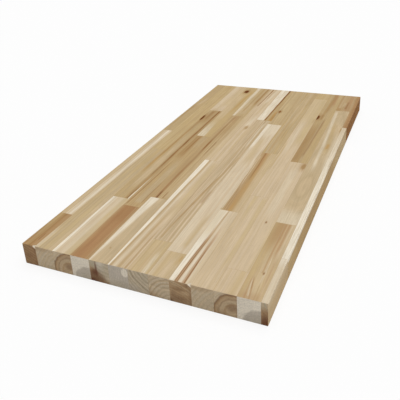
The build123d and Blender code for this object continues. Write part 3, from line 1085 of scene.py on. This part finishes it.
class COUNTERTOP_OT_studio(bpy.types.Operator):
    """Set up the floor, the lamps, the sky and the camera"""

    bl_idname = "countertop.studio"
    bl_label = "Set Up the Studio"

    # Keeps the floor's face clear of the slab's underside
    FLOOR_DROP = 0.2 * MM
    # Share of plain white in the floor that the camera sees
    WHITE_SHARE = 0.85
    WHITE = (1.0, 1.0, 1.0, 1.0)

    def execute(self, context):
        scene, settings = context.scene, context.scene.countertop_studio
        self.lay_floor(scene, settings)
        self.hang_lamp(scene, settings)
        self.light_sky(scene, settings)
        self.place_camera(scene, settings)
        scene.view_settings.view_transform = "Standard"
        return {"FINISHED"}

    def seen_directly(self, tree):
        """Node that is 1 for what the camera sees, straight or in a reflection."""
        path = add(tree, "ShaderNodeLightPath").outputs
        mirrored = add(tree, MATH, [path["Is Camera Ray"], path["Is Glossy Ray"]], operation="ADD")
        return add(tree, MATH, [mirrored, path["Is Transmission Ray"]], operation="ADD", use_clamp=True)

    def lay_floor(self, scene, settings):
        """Matt white studio board: lit by the lamps, with a faint shadow, and white to the camera."""
        half = settings.floor_size / 2
        mesh = bpy.data.meshes.new("studio_floor")
        mesh.from_pydata([(-half, -half, 0), (half, -half, 0), (half, half, 0), (-half, half, 0)], [],
                         [(0, 1, 2, 3)])
        floor = bpy.data.objects.new("studio_floor", mesh)
        scene.collection.objects.link(floor)
        floor.location.z = -self.FLOOR_DROP
        board = bpy.data.materials.new("matt_white_board")
        board.use_nodes = True
        tree = board.node_tree
        tree.nodes.clear()
        lit = add(tree, "ShaderNodeBsdfDiffuse", {"Color": (*linear("#fafafa"), 1.0)})
        white = add(tree, "ShaderNodeEmission", {"Color": self.WHITE, "Strength": 1.0})
        share = add(tree, MATH, [self.seen_directly(tree), self.WHITE_SHARE], operation="MULTIPLY")
        both = add(tree, "ShaderNodeMixShader", [share, lit, white])
        add(tree, "ShaderNodeOutputMaterial", {"Surface": both})
        mesh.materials.append(board)

    def hang_lamp(self, scene, settings):
        """One wide soft lamp high above the slab, far enough off to light all of it alike."""
        lamp = bpy.data.lights.new("key_lamp", "SUN")
        lamp.angle = settings.key_width
        lamp.energy = settings.key_strength
        holder = bpy.data.objects.new("key_lamp", lamp)
        scene.collection.objects.link(holder)
        holder.location = settings.key_place
        holder.rotation_mode = "QUATERNION"
        holder.rotation_quaternion = (-Vector(settings.key_place)).to_track_quat("-Z", "Y")

    def light_sky(self, scene, settings):
        """Even light from all round, with plain white behind the object."""
        scene.world = bpy.data.worlds.new("studio_sky")
        scene.world.use_nodes = True
        tree = scene.world.node_tree
        tree.nodes.clear()
        strength = add(tree, "ShaderNodeMix", {
            "Factor": self.seen_directly(tree), "A": settings.sky, "B": 1.0}, data_type="FLOAT")
        sky = add(tree, "ShaderNodeBackground", {"Color": self.WHITE, "Strength": strength})
        add(tree, "ShaderNodeOutputWorld", {"Surface": sky})

    def place_camera(self, scene, settings):
        """The photograph's camera: above the left end, looking along the slab."""
        lens = bpy.data.cameras.new("studio_camera")
        lens.lens = settings.camera_lens
        lens.shift_y = settings.camera_shift
        camera = bpy.data.objects.new("studio_camera", lens)
        scene.collection.objects.link(camera)
        camera.location = settings.camera_place
        sight = Vector(settings.camera_aim) - Vector(settings.camera_place)
        camera.rotation_mode = "QUATERNION"
        roll = Quaternion((0.0, 0.0, 1.0), -settings.camera_roll)
        camera.rotation_quaternion = sight.to_track_quat("-Z", "Y") @ roll
        scene.camera = camera


class COUNTERTOP_PT_panel(bpy.types.Panel):
    """Sizes, colours and steps of the countertop"""

    bl_idname = "COUNTERTOP_PT_panel"
    bl_label = "Butcher Block Countertop"
    bl_space_type = "VIEW_3D"
    bl_region_type = "UI"
    bl_category = "Countertop"

    def draw(self, context):
        for place in SETTINGS:
            settings = getattr(context.scene, place)
            box = self.layout.box()
            for name in settings.bl_rna.properties.keys():
                if name not in ("rna_type", "name"):
                    box.prop(settings, name)
        for row in row_numbers():
            self.layout.operator(COUNTERTOP_OT_row_staves.bl_idname, text=f"Dress Row {row}").row = row
        self.layout.operator(COUNTERTOP_OT_studio.bl_idname)


def row_numbers():
    """Numbers of the slab's rows, from the back edge."""
    return sorted({int(name.split("_")[2]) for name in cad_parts})


# Where the scene keeps each group of settings
SETTINGS = {
    "countertop_tones": WoodTones,
    "countertop_grain": GrainSizes,
    "countertop_studio": StudioSettings,
}
CLASSES = (*SETTINGS.values(), COUNTERTOP_OT_row_staves, COUNTERTOP_OT_studio, COUNTERTOP_PT_panel)


def register():
    for made in CLASSES:
        bpy.utils.register_class(made)
    for place, group in SETTINGS.items():
        setattr(bpy.types.Scene, place, bpy.props.PointerProperty(type=group))


def unregister():
    for place in SETTINGS:
        delattr(bpy.types.Scene, place)
    for made in reversed(CLASSES):
        bpy.utils.unregister_class(made)


def main():
    register()
    for row in row_numbers():
        bpy.ops.countertop.row_staves(row=row)
    bpy.ops.countertop.studio()
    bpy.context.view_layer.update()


if __name__ == "__main__":
    main()
